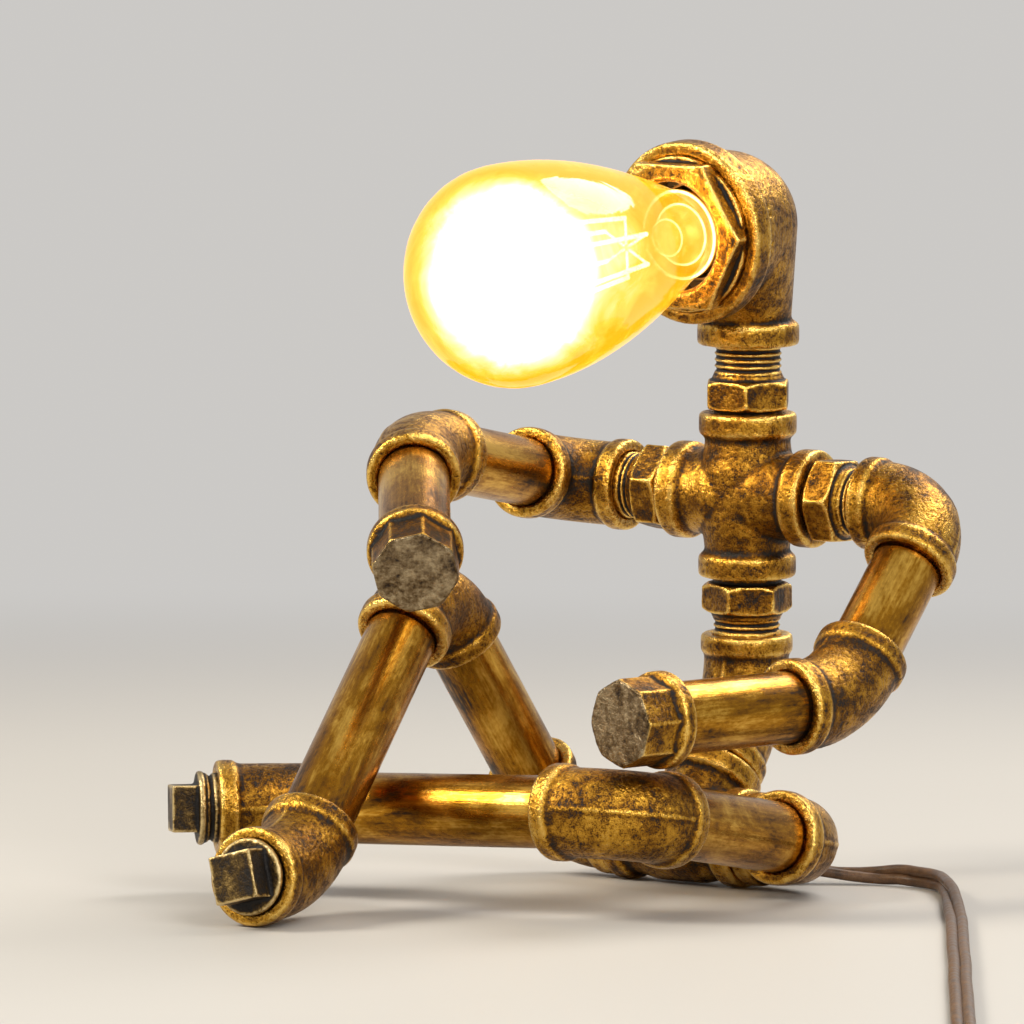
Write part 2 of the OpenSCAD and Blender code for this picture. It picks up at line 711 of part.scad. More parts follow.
module left_hand_cap() {
    color(bronze) at(left_arm_corner * turn_y(45) * along(reach_45 + forearm_pipe) * turn_z(10)) hand_cap();
}

// ---- legs ----

module right_hip_nipple() {
    color(iron) at(seat * turn_y(-90) * along(tee_run_reach)) close_nipple(hip_gap);
}

module right_hip_elbow() {
    color(bronze) at(right_hip) elbow(90, reach_90);
}

module right_thigh() {
    color(bronze) at(right_hip * turn_y(90) * along(reach_90)) pipe(thigh_pipe);
}

module right_knee_elbow() {
    color(bronze) at(right_knee) elbow(90, reach_90);
}

module right_shin() {
    color(bronze) at(right_knee * turn_y(90) * along(reach_90)) pipe(shin_pipe);
}

module right_foot_elbow() {
    color(bronze) at(right_foot) elbow(45, reach_45);
}

module right_foot_plug() {
    color(iron) at(right_foot * turn_y(45) * along(reach_45) * turn_z(8))
        foot_plug(right_plug_thread);
}

module left_hip_nipple() {
    color(iron) at(seat * turn_y(90) * along(tee_run_reach)) close_nipple(hip_gap);
}

module left_hip_elbow() {
    color(bronze) at(left_hip) elbow(90, reach_90);
}

module left_thigh() {
    color(bronze) at(left_hip * turn_y(90) * along(reach_90)) pipe(thigh_pipe);
}

module left_knee_elbow() {
    color(bronze) at(left_knee) elbow(90, reach_90);
}

module left_shin() {
    color(bronze) at(left_knee * turn_y(90) * along(reach_90)) pipe(shin_pipe);
}

module left_foot_elbow() {
    color(bronze) at(left_foot) elbow(45, reach_45);
}

module left_foot_plug() {
    color(iron) at(left_foot * turn_y(45) * along(reach_45)) foot_plug(left_plug_thread);
}

// ---- cord and the pieces on it ----

module cord_relief() {
    bush_d = relief_neck_d - 0.1;
    straight = 6;
    color([0.08, 0.08, 0.08]) {
        at(relief_end) translate([0, 0, -relief_len - relief_root])
            cylinder(h = relief_root + straight, d = bush_d, $fn = 48);
        difference() {
            at(relief_end) union() {
                translate([0, 0, -relief_len - 3]) cylinder(h = straight + 3, d = relief_d, $fn = 48);
                translate([0, 0, straight - relief_len])
                    cylinder(h = relief_len - straight, d1 = relief_d, d2 = cord_w + 0.6, $fn = 48);
            }
            at(pelvis) casting_skin(tee_turns, tee_reaches);
        }
    }
}

// Eight-sided flat ring across the cord at point i; roll 0 lies flat and 90 stands on edge
function cord_ring(route, i, roll) =
    let (
        before = route[max(i - 1, 0)],
        after = route[min(i + 1, len(route) - 1)],
        t = (after - before) / norm(after - before),
        side = cross([0, 0, 1], t) / norm(cross([0, 0, 1], t)),
        up = cross(t, side),
        wide = side * cos(roll) + up * sin(roll),
        thin = up * cos(roll) - side * sin(roll))
    [for (k = [0:7]) let (a = 45 * k + 22.5)
        route[i] + wide * cos(a) * cord_w / 2 / cos(22.5) + thin * sin(a) * cord_t / 2 / cos(22.5)];

module cord_sweep(route, rolls) {
    last = len(route) - 1;
    points = [for (i = [0:last]) each cord_ring(route, i, rolls[i])];
    sides = [for (i = [0:last - 1]) for (k = [0:7])
        [8 * i + k, 8 * i + 8 + k, 8 * i + 8 + (k + 1) % 8, 8 * i + (k + 1) % 8]];
    polyhedron(points, concat([[for (k = [0:7]) k]], sides, [[for (k = [7:-1:0]) 8 * last + k]]));
}

module cord_run() {
    color([0.25, 0.17, 0.1]) cord_sweep(cord_route, cord_rolls);
}

module cord_link() {
    color([0.25, 0.17, 0.1]) cord_sweep(link_route, link_rolls);
}

module cord_tail() {
    color([0.25, 0.17, 0.1]) cord_sweep(tail_route, tail_rolls);
}

coil_wide = coil_columns * cord_w;
coil_high = coil_layers * cord_w;

module cord_coil() {
    color([0.25, 0.17, 0.1]) translate(coil_middle) rotate_extrude()
        translate([coil_r - coil_wide / 2, 0]) square([coil_wide, coil_high]);
}

// Strap round the bundle of the coil
module coil_tie() {
    strap = 0.7;
    gap = 0.3;
    strap_w = 7;
    color([0.05, 0.05, 0.05]) translate(coil_middle) rotate([0, 0, 215]) translate([coil_r, 0, 0])
        difference() {
            translate([-coil_wide / 2 - gap - strap, -strap_w / 2, -strap])
                cube([coil_wide + 2 * (gap + strap), strap_w, coil_high + gap + 2 * strap]);
            translate([-coil_wide / 2 - gap, -strap_w / 2 - overlap, 0])
                cube([coil_wide + 2 * gap, strap_w + 2 * overlap, coil_high + gap]);
        }
}

// Height of the switch's lower half and the seam above it
switch_split = 8;
switch_seam = 0.2;
rocker_l = 15;
rocker_w = 9;
rocker_tilt = 7;
rocker_gap = 0.4;
switch_at = move([link_route[0][0] - switch_len / 2, link_route[0][1], 0]);

module switch_outline() {
    intersection() {
        square([switch_len, switch_w], center = true);
        circle(r = switch_len / 2, $fn = 96);
    }
}

module switch_base() {
    color([0.1, 0.1, 0.1]) at(switch_at)
        linear_extrude(height = switch_split - switch_seam) switch_outline();
}

module switch_cover() {
    color([0.1, 0.1, 0.1]) at(switch_at) difference() {
        union() {
            translate([0, 0, switch_split])
                linear_extrude(height = switch_h - switch_split - 1.5) switch_outline();
            translate([0, 0, switch_h - 2]) linear_extrude(height = 2) intersection() {
                square([switch_len - 6, switch_w - 3], center = true);
                circle(r = switch_len / 2 - 2.5, $fn = 96);
            }
        }
        translate([-rocker_l / 2 - rocker_gap, -rocker_w / 2 - rocker_gap, switch_split + 1.5])
            cube([rocker_l + 2 * rocker_gap, rocker_w + 2 * rocker_gap, switch_h]);
    }
}

module switch_rocker() {
    pivot_z = switch_h - 2.5;
    color([0.15, 0.15, 0.15]) at(switch_at * along(pivot_z) * turn_y(-rocker_tilt))
        rotate([90, 0, 0]) translate([0, 0, -rocker_w / 2]) linear_extrude(height = rocker_w)
            polygon([[-rocker_l / 2 + 0.5, 0], [-3, -3.4], [3, -3.4], [rocker_l / 2 - 0.5, 0],
                [rocker_l / 2 - 0.3, 3.4], [0, 2.4], [-rocker_l / 2 + 0.3, 3.4]]);
}

plug_at = move(tail_route[len(tail_route) - 1]) * turn_z(-90) * turn_y(-90);

module plug_body() {
    tail_w = 10;
    color([0.08, 0.08, 0.08]) at(plug_at) intersection() {
        translate([-plug_body_h / 2, 0, 0]) rotate([0, 90, 0]) linear_extrude(height = plug_body_h)
            polygon([[0, -tail_w / 2], [0, tail_w / 2], [-plug_body_len * 0.35, tail_w / 2 + 2],
                [-plug_body_len * 0.62, plug_body_w / 2], [-plug_body_len, plug_body_w / 2],
                [-plug_body_len, -plug_body_w / 2], [-plug_body_len * 0.62, -plug_body_w / 2],
                [-plug_body_len * 0.35, -tail_w / 2 - 2]]);
        linear_extrude(height = plug_body_len) union() {
            square([plug_body_h, plug_body_w - plug_body_h], center = true);
            for (side = [-1, 1]) translate([0, side * (plug_body_w - plug_body_h) / 2])
                circle(d = plug_body_h, $fn = 64);
        }
    }
}

module plug_pins() {
    color([0.8, 0.8, 0.78]) at(plug_at * along(plug_body_len)) for (side = [-1, 1])
        translate([0, side * pin_spacing / 2, 0]) {
            cylinder(h = pin_len - 0.6, d = pin_d, $fn = 48);
            translate([0, 0, pin_len - 0.6]) cylinder(h = 0.6, d1 = pin_d, d2 = pin_d - 1.2, $fn = 48);
        }
}

// ---- each node by its name ----

pelvis_tee();
waist_close_nipple();
waist_elbow();
waist_hex_nipple();
chest_cross();
right_shoulder_nipple();
left_shoulder_nipple();
neck_hex_nipple();
head_elbow();
face_bushing();
holder_body();
holder_shell();
holder_contact();
bulb_glass();
bulb_base();
bulb_stem();
bulb_filaments();
right_shoulder_elbow();
right_upper_arm();
right_arm_elbow();
right_forearm();
right_hand_cap();
left_shoulder_elbow();
left_upper_arm();
left_arm_elbow();
left_forearm();
left_hand_cap();
right_hip_nipple();
right_hip_elbow();
right_thigh();
right_knee_elbow();
right_shin();
right_foot_elbow();
right_foot_plug();
left_hip_nipple();
left_hip_elbow();
left_thigh();
left_knee_elbow();
left_shin();
left_foot_elbow();
left_foot_plug();
cord_relief();
cord_run();
cord_link();
cord_coil();
cord_tail();
coil_tie();
switch_base();
switch_cover();
switch_rocker();
plug_body();
plug_pins();
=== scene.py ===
import json
import math

import bmesh
import bpy
import numpy as np
from mathutils import Matrix, Vector


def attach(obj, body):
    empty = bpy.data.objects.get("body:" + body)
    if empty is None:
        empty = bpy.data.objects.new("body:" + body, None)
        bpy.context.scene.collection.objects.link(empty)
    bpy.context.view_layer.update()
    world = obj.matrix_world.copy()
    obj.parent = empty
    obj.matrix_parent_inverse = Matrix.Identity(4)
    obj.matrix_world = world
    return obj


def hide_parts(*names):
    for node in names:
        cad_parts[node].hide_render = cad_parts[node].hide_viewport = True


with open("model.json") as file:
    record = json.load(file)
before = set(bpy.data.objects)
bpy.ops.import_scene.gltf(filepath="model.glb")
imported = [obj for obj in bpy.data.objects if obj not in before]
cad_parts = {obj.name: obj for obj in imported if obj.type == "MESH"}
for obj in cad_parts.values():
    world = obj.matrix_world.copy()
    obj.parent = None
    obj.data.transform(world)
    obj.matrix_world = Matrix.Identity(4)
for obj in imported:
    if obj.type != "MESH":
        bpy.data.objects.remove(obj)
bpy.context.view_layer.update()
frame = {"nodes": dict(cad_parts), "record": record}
scene = bpy.context.scene
mm = 0.001


# small helpers for meshes

def newPiece(name, mesh, body, stands=(), sharp=35):
    data = bpy.data.meshes.new(name)
    mesh.to_mesh(data)
    mesh.free()
    data.polygons.foreach_set("use_smooth", [True] * len(data.polygons))
    data.set_sharp_from_angle(angle=math.radians(sharp))
    piece = bpy.data.objects.new(name, data)
    scene.collection.objects.link(piece)
    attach(piece, body)
    if stands:
        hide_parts(*stands)
    return piece


def cadCopy(node):
    # a merged copy of a node's loose triangles
    mesh = bmesh.new()
    mesh.from_mesh(frame["nodes"][node].data)
    bmesh.ops.remove_doubles(mesh, verts=mesh.verts, dist=2e-6)
    return mesh


def bodyOf(node):
    for body, members in frame["record"]["behaviour"]["bodies"].items():
        if node in members:
            return body


def paint(piece, material):
    piece.data.materials.clear()
    piece.data.materials.append(material)


def placed(mesh, verts, matrix):
    bmesh.ops.transform(mesh, matrix=matrix, verts=verts)


def ringSpin(mesh, outline, steps=64):
    # outline of (radius, height) points in millimetres, turned about Z
    ring = [mesh.verts.new((r * mm, 0, z * mm)) for r, z in outline]
    edges = [mesh.edges.new(pair) for pair in zip(ring, ring[1:])]
    before = set(mesh.verts) - set(ring)
    bmesh.ops.spin(mesh, geom=ring + edges, cent=(0, 0, 0), axis=(0, 0, 1), angle=math.tau,
                   steps=steps, use_merge=True, use_normal_flip=False, use_duplicate=False)
    made = [v for v in mesh.verts if v not in before]
    bmesh.ops.remove_doubles(mesh, verts=made, dist=1e-6)
    return [v for v in mesh.verts if v not in before]


def axisFrame(origin, axis):
    # a matrix whose Z is the axis
    return Matrix.Translation(origin) @ Vector(axis).to_track_quat("Z", "Y").to_matrix().to_4x4()


# small helpers for materials

def newMaterial(name):
    made = bpy.data.materials.new(name)
    made.use_nodes = True
    tree = made.node_tree
    return made, tree, tree.nodes["Principled BSDF"]


def node(tree, kind, **values):
    made = tree.nodes.new("ShaderNode" + kind)
    for key, value in values.items():
        setattr(made, key, value)
    return made


def objectPlace(tree, scale=(1, 1, 1)):
    coords = node(tree, "TexCoord")
    mapping = node(tree, "Mapping")
    mapping.inputs["Scale"].default_value = scale
    tree.links.new(coords.outputs["Object"], mapping.inputs["Vector"])
    return mapping.outputs["Vector"]


def pipePlace(tree, along=1.0):
    # the place on a pipe, with the length along it scaled
    given = node(tree, "Attribute", attribute_name="pipePlace")
    mapping = node(tree, "Mapping")
    mapping.inputs["Scale"].default_value = (1, 1, along)
    tree.links.new(given.outputs["Vector"], mapping.inputs["Vector"])
    return mapping.outputs["Vector"]


def noise(tree, place, scale, detail=3.0, rough=0.55, bend=0.0):
    made = node(tree, "TexNoise")
    tree.links.new(place, made.inputs["Vector"])
    made.inputs["Scale"].default_value = scale
    made.inputs["Detail"].default_value = detail
    made.inputs["Roughness"].default_value = rough
    made.inputs["Distortion"].default_value = bend
    return made.outputs["Fac"]


def maths(tree, kind, first, second=None, third=None):
    made = node(tree, "Math", operation=kind)
    for socket, value in zip(made.inputs, (first, second, third)):
        if value is None:
            continue
        if isinstance(value, (int, float)):
            socket.default_value = value
        else:
            tree.links.new(value, socket)
    return made.outputs[0]


def summed(tree, start, *terms):
    # start plus each value times its weight
    total = start
    for value, weight in terms:
        total = maths(tree, "MULTIPLY_ADD", value, weight, total)
    return total


def spread(tree, value, low, high, toLow=0.0, toHigh=1.0):
    made = node(tree, "MapRange", interpolation_type="SMOOTHSTEP")
    tree.links.new(value, made.inputs["Value"])
    made.inputs["From Min"].default_value = low
    made.inputs["From Max"].default_value = high
    made.inputs["To Min"].default_value = toLow
    made.inputs["To Max"].default_value = toHigh
    return made.outputs["Result"]


def ramp(tree, value, stops):
    stops = list(stops)
    made = node(tree, "ValToRGB")
    line = made.color_ramp
    while len(line.elements) < len(stops):
        line.elements.new(0.5)
    for element, (place, colour) in zip(line.elements, stops):
        element.position = place
        element.color = (*colour, 1)
    tree.links.new(value, made.inputs["Fac"])
    return made.outputs["Color"]


def bump(tree, height, shader, strength, distance):
    made = node(tree, "Bump")
    made.inputs["Strength"].default_value = strength
    made.inputs["Distance"].default_value = distance
    tree.links.new(height, made.inputs["Height"])
    tree.links.new(made.outputs["Normal"], shader.inputs["Normal"])


# camera

cameraLook = {
    "foot": (10, 73.7, 0),      # point under the pelvis, mm
    "azimuth": 36.18, "elevation": 2.67, "roll": 0.52,
    "distance": 1861.6, "aside": -54.36, "up": 113.04, "lens": 214.4, "sensor": 36,
    "clip": (0.05, 60),
}


def makeCamera(look):
    az, el, roll = (math.radians(look[k]) for k in ("azimuth", "elevation", "roll"))
    right = Vector((math.cos(az), math.sin(az), 0))
    back = Vector((math.sin(az) * math.cos(el), -math.cos(az) * math.cos(el), math.sin(el)))
    top = back.cross(right)
    tiltedRight = right * math.cos(roll) + top * math.sin(roll)
    tiltedTop = -right * math.sin(roll) + top * math.cos(roll)
    target = Vector(look["foot"]) + right * look["aside"] + Vector((0, 0, look["up"]))
    data = bpy.data.cameras.new("camera")
    data.sensor_width = look["sensor"]
    data.lens = look["lens"]
    data.clip_start, data.clip_end = look["clip"]
    camera = bpy.data.objects.new("camera", data)
    turn = Matrix((tiltedRight, tiltedTop, back)).transposed().to_4x4()
    camera.matrix_world = Matrix.Translation((target + back * look["distance"]) * mm) @ turn
    scene.collection.objects.link(camera)
    scene.camera = camera


makeCamera(cameraLook)
print("camera placed")


# cord

cordLook = {
    "width": 6.4, "coreRadius": 1.66, "coreApart": 1.54, "lowest": 1.7,
    "reliefTip": (41, 97, 4.4), "reliefTurn": 30, "reliefTilt": 99,
    "hidden": 9,   # length inside the relief, mm
    "coilMiddle": (357, -127.5), "coilLow": 4.0, "coilHigh": 10.4,
    "coilTurns": 6, "lowerTurns": 3, "riseTurns": 0.25, "stepsPerTurn": 16,
    "coilOut": 45.6, "coilIn": 26.4, "coilStep": 6.4,
    "tieTurn": 215, "tieReach": (24.3, 46.2),   # from the coil's middle to the strap's sides, mm
    "dust": 260, "fine": 2600,
    "jacket": (0.115, 0.056, 0.024), "jacketDark": (0.026, 0.014, 0.009),
    "jacketWorn": (0.21, 0.115, 0.052),
}
toSwitch = [(41, 97, 4.4), (47.5, 100.8, 3.4), (53.5, 104.2, 3), (59.5, 106.9, 3.1),
            (65.8, 107.9, 3.6), (72, 107.3, 3.4), (78, 105.3, 3.4), (83.4, 101.8, 3.4),
            (87.6, 97.3, 3.4), (93, 90, 3.6), (99, 82, 3.6), (105, 73.8, 3.4),
            (112.5, 62.8, 2.9), (120, 51.7, 2.4), (128.5, 39, 2), (137, 26.4, 1.8),
            (146.5, 11.4, 1.8), (156, -3.5, 1.8), (175, -33.5, 1.8), (194, -63, 1.8),
            (211.5, -91, 1.8), (228.5, -117.5, 1.8), (245, -143.5, 1.8), (260, -167, 1.8),
            (265.5, -175.5, 1.8), (272, -183, 1.8), (280, -188.8, 2), (289, -192.4, 2.8),
            (298.5, -193.5, 4.1), (307, -193.5, 5.5), (316, -193.5, 6.5), (344, -193.5, 6.6)]
toSwitchRolls = [0, 5, 20, 45, 70, 88, 90, 90, 88, 80, 68, 54, 38, 22, 10, 3] + [0] * 16
toCoil = [(372, -193.5, 6.5), (380, -192.8, 5), (389, -189.4, 4), (396.8, -182.7, 3.9),
          (401.4, -174, 3.9), (402.6, -164.5, 4), (402.6, -153, 4), (402.6, -141.5, 4)]
toCoilRolls = [0, 25, 55, 80, 90, 90, 90, 90]
toPlug = [(401, -116.5, 10.2), (401, -104.5, 9.2), (401, -93.5, 8), (401, -83, 7.1),
          (401, -73.5, 6.9), (401, -67.5, 6.9)]
toPlugRolls = [90, 70, 40, 10, 0, 0]


def coilPoints(look):
    # inward along the lower layer, up a quarter turn and outward along the upper one
    points = []
    middle, low, high = look["coilMiddle"], look["coilLow"], look["coilHigh"]
    steps, rising = look["stepsPerTurn"], look["lowerTurns"] + look["riseTurns"]
    for i in range(look["coilTurns"] * steps + 1):
        n = i / steps
        if n <= look["lowerTurns"]:
            radius, z = look["coilOut"] - look["coilStep"] * n, low
        elif n <= rising:
            share = (n - look["lowerTurns"]) / look["riseTurns"]
            radius, z = look["coilIn"], low + (high - low) * share * share * (3 - 2 * share)
        else:
            radius, z = look["coilIn"] + look["coilStep"] * (n - rising), high
        points.append((middle[0] + radius * math.cos(math.tau * n),
                       middle[1] + radius * math.sin(math.tau * n), z))
    return points


def smoothLine(points, cuts=5):
    # a curve through every point
    p = np.array([points[0]] + list(points) + [points[-1]], float)
    line = []
    for i in range(1, len(p) - 2):
        for k in range(cuts):
            t = k / cuts
            line.append(0.5 * (2 * p[i] + (p[i + 1] - p[i - 1]) * t
                               + (2 * p[i - 1] - 5 * p[i] + 4 * p[i + 1] - p[i + 2]) * t * t
                               + (3 * p[i] - p[i - 1] - 3 * p[i + 1] + p[i + 2]) * t ** 3))
    line.append(p[-2])
    return np.array(line)


def twinOutline(look, count=10):
    # two round cores side by side
    r, c = look["coreRadius"], look["coreApart"]
    reach = math.acos(-c / r)
    angles = [-reach + 2 * reach * i / count for i in range(count)]
    right = [(c + r * math.cos(a), r * math.sin(a)) for a in angles]
    return right + [(-x, -y) for x, y in right]


def sweepCord(mesh, line, rolls, outline):
    rings = []
    for i, here in enumerate(line):
        ahead = Vector(line[min(i + 1, len(line) - 1)] - line[max(i - 1, 0)]).normalized()
        side = Vector((0, 0, 1)).cross(ahead).normalized()
        up = ahead.cross(side)
        roll = math.radians(rolls[i])
        wide = side * math.cos(roll) + up * math.sin(roll)
        thin = up * math.cos(roll) - side * math.sin(roll)
        rings.append([mesh.verts.new((Vector(here) + wide * a + thin * b) * mm)
                      for a, b in outline])
    for ring, ahead in zip(rings, rings[1:]):
        for k, n in zip(range(len(ring)), [*range(1, len(ring)), 0]):
            mesh.faces.new((ring[k], ahead[k], ahead[n], ring[n]))
    mesh.faces.new(rings[0])
    mesh.faces.new(list(reversed(rings[-1])))


def jacketMaterial(look):
    made, tree, shader = newMaterial("cordJacket")
    place = objectPlace(tree)
    dust = noise(tree, place, look["dust"], 4, 0.6)
    fine = noise(tree, place, look["fine"], 2, 0.5)
    mixed = maths(tree, "MULTIPLY_ADD", fine, 0.35, maths(tree, "MULTIPLY", dust, 0.65))
    colour = ramp(tree, mixed, [(0.30, look["jacketDark"]), (0.52, look["jacket"]),
                                (0.74, look["jacketWorn"])])
    tree.links.new(colour, shader.inputs["Base Color"])
    tree.links.new(spread(tree, dust, 0.3, 0.7, 0.34, 0.52), shader.inputs["Roughness"])
    shader.inputs["Specular IOR Level"].default_value = 0.5
    bump(tree, fine, shader, 0.12, 0.0002)
    return made


def reliefDirection(look):
    turn = Matrix.Rotation(math.radians(look["reliefTurn"]), 3, "Z")
    return turn @ Matrix.Rotation(math.radians(look["reliefTilt"]), 3, "Y") @ Vector((0, 0, 1))


def makeCord(look):
    inward = -reliefDirection(look)
    start = tuple(Vector(look["reliefTip"]) + inward * look["hidden"])
    coil = coilPoints(look)
    line = smoothLine([start] + toSwitch + toCoil + coil + toPlug)
    line[:, 2] = np.maximum(line[:, 2], look["lowest"])
    rolls = [0] + toSwitchRolls + toCoilRolls + [90] * len(coil) + toPlugRolls
    turning = np.interp(np.linspace(0, len(rolls) - 1, len(line)), range(len(rolls)), rolls)
    mesh = bmesh.new()
    sweepCord(mesh, line, turning, twinOutline(look))
    bmesh.ops.recalc_face_normals(mesh, faces=mesh.faces)
    piece = newPiece("cord", mesh, "pelvis",
                     ["cord_run", "cord_link", "cord_coil", "cord_tail"], sharp=60)
    paint(piece, jacketMaterial(look))
    length = float(np.linalg.norm(np.diff(line, axis=0), axis=1).sum())
    print(f"cord {length:.0f} mm long")
    return piece, line * mm, length * mm


cordPiece, cordLine, cordLength = makeCord(cordLook)


# soft plastics on the cord

plasticLook = {
    "black": (0.018, 0.018, 0.019), "worn": (0.045, 0.044, 0.042), "rubber": (0.020, 0.019, 0.018),
    "corner": 30,   # edges sharper than this are rounded, degrees
    "ribs": 6, "firstRib": 15.5, "ribPitch": 2.5,
    "reliefRadii": (3.5, 4.5), "reliefLength": 18,
    # a rib's outline: out from the sleeve and along it, mm
    "rib": [(-0.5, -0.6), (0.12, -0.6), (0.38, -0.35), (0.38, 0.35), (0.12, 0.6), (-0.5, 0.6),
            (-0.5, -0.6)],
}


def plasticMaterial(name, dark, light, rough, grain):
    made, tree, shader = newMaterial(name)
    place = objectPlace(tree)
    cloud = noise(tree, place, 120, 4, 0.6)
    fine = noise(tree, place, grain, 2, 0.5)
    mixed = maths(tree, "MULTIPLY_ADD", fine, 0.3, maths(tree, "MULTIPLY", cloud, 0.7))
    tree.links.new(ramp(tree, mixed, [(0.3, dark), (0.7, light)]), shader.inputs["Base Color"])
    tree.links.new(spread(tree, cloud, 0.3, 0.7, rough - 0.08, rough + 0.08),
                   shader.inputs["Roughness"])
    bump(tree, fine, shader, 0.18, 0.0002)
    return made


blackPlastic = plasticMaterial("mouldedBlack", plasticLook["black"], plasticLook["worn"],
                               0.42, 2600)
blackRubber = plasticMaterial("softRubber", plasticLook["rubber"], plasticLook["worn"],
                              0.6, 1800)


def softCopy(name, cadNode, material, edge, segments=3):
    # a node's own shape with its sharp edges rounded
    mesh = cadCopy(cadNode)
    bmesh.ops.dissolve_limit(mesh, angle_limit=math.radians(1), verts=mesh.verts,
                             edges=mesh.edges, delimit={"NORMAL"})
    hard = [e for e in mesh.edges if len(e.link_faces) == 2
            and e.calc_face_angle(0) > math.radians(plasticLook["corner"])]
    bmesh.ops.bevel(mesh, geom=hard, offset=edge * mm, offset_type="OFFSET", affect="EDGES",
                    segments=segments, profile=0.5, material=-1, clamp_overlap=True)
    piece = newPiece(name, mesh, bodyOf(cadNode), [cadNode])
    paint(piece, material)
    return piece


def smoothCopy(name, cadNode, material, sharp):
    piece = newPiece(name, cadCopy(cadNode), bodyOf(cadNode), [cadNode], sharp)
    paint(piece, material)


def makeRelief(look, plastic):
    # the tapered sleeve with ribs round it
    mesh = cadCopy("cord_relief")
    direction = reliefDirection(look)
    tip = Vector(look["reliefTip"]) * mm
    thin, thick = plastic["reliefRadii"]
    for i in range(plastic["ribs"]):
        back = plastic["firstRib"] - plastic["ribPitch"] * i
        radius = thin + (thick - thin) * back / plastic["reliefLength"]
        verts = ringSpin(mesh, [(radius + out, along) for out, along in plastic["rib"]], 48)
        placed(mesh, verts, axisFrame(tip - direction * back * mm, direction))
    bmesh.ops.recalc_face_normals(mesh, faces=mesh.faces)
    piece = newPiece("reliefSleeve", mesh, "pelvis", ["cord_relief"])
    paint(piece, blackRubber)


def pinMaterial():
    made, tree, shader = newMaterial("platedPin")
    fine = noise(tree, objectPlace(tree, (1, 0.1, 1)), 2400, 3, 0.6)
    tree.links.new(ramp(tree, fine, [(0.3, (0.55, 0.54, 0.51)), (0.7, (0.80, 0.79, 0.76))]),
                   shader.inputs["Base Color"])
    tree.links.new(spread(tree, fine, 0.3, 0.7, 0.2, 0.32), shader.inputs["Roughness"])
    shader.inputs["Metallic"].default_value = 1
    bump(tree, fine, shader, 0.08, 0.0001)
    return made


def tightenTie(piece, look):
    # draws the strap in to the turns that pass through it
    turn = math.radians(look["tieTurn"])
    way = Vector((math.cos(turn), math.sin(turn), 0))
    middle = Vector((*look["coilMiddle"], 0)) * mm
    reach = [(v.co - middle).dot(way) for v in piece.data.vertices]
    low, high = min(reach), max(reach)
    near, far = (side * mm for side in look["tieReach"])
    for v, r in zip(piece.data.vertices, reach):
        v.co += way * (near + (r - low) / (high - low) * (far - near) - r)


makeRelief(cordLook, plasticLook)
switchParts = [softCopy("switchBase", "switch_base", blackPlastic, 0.8),
               softCopy("switchCover", "switch_cover", blackPlastic, 0.8),
               softCopy("switchRocker", "switch_rocker", blackPlastic, 0.35, 2)]
tie = softCopy("coilTie", "coil_tie", blackRubber, 0.3, 2)
tightenTie(tie, cordLook)
plugBody = softCopy("plugBody", "plug_body", blackPlastic, 1.2, 4)
pins = softCopy("plugPins", "plug_pins", pinMaterial(), 0.3, 2)


sleeveLook = {
    # place in mm, axis, share of the outline's width and length, steps round it
    "switchSleeves": [((316.5, -193.5, 6.5), (-1, 0, 0), (1, 1), 40),
                      ((371.5, -193.5, 6.5), (1, 0, 0), (1, 1), 40)],
    "plugSleeve": [((401, -73, 6.9), (0, -1, 0.02), (1.05, 1.7), 48)],
    "outline": [(2.2, -1), (4.4, -1), (4.7, 0), (4.6, 1.2), (4.1, 1.6), (4.1, 2.2), (4.4, 2.6),
                (4.3, 3.8), (3.9, 4.2), (3.9, 4.8), (4.1, 5.2), (4.0, 6.4), (3.6, 6.8), (2.2, 6.8),
                (2.2, -1)],
}


def makeSleeve(name, look):
    # a short ribbed sleeve at each place where the cord goes in
    mesh = bmesh.new()
    for place, axis, (wide, long), steps in look[name]:
        verts = ringSpin(mesh, [(r * wide, z * long) for r, z in look["outline"]], steps)
        placed(mesh, verts, axisFrame(Vector(place) * mm, axis))
    bmesh.ops.recalc_face_normals(mesh, faces=mesh.faces)
    piece = newPiece(name, mesh, "pelvis")
    paint(piece, blackRubber)
    return piece


switchSleeves = makeSleeve("switchSleeves", sleeveLook)
plugSleeve = makeSleeve("plugSleeve", sleeveLook)

print("cord, switch and plug made")


# bronze paint over black iron

bronzeLook = {
    "soot": (0.006, 0.004, 0.003), "brown": (0.048, 0.021, 0.005), "bronze": (0.205, 0.088, 0.011),
    "gold": (0.53, 0.275, 0.030), "bright": (0.88, 0.58, 0.15),
    "pipeGold": (0.37, 0.165, 0.012), "pipeBright": (0.72, 0.42, 0.075),
    "blotch": 46, "patch": 170, "peel": 800, "grain": 2600,
    # bare iron, from its dark patches to its light ones
    "bare": [(0.42, (0.022, 0.012, 0.006)), (0.53, (0.150, 0.100, 0.050)),
             (0.72, (0.42, 0.33, 0.20))],
}


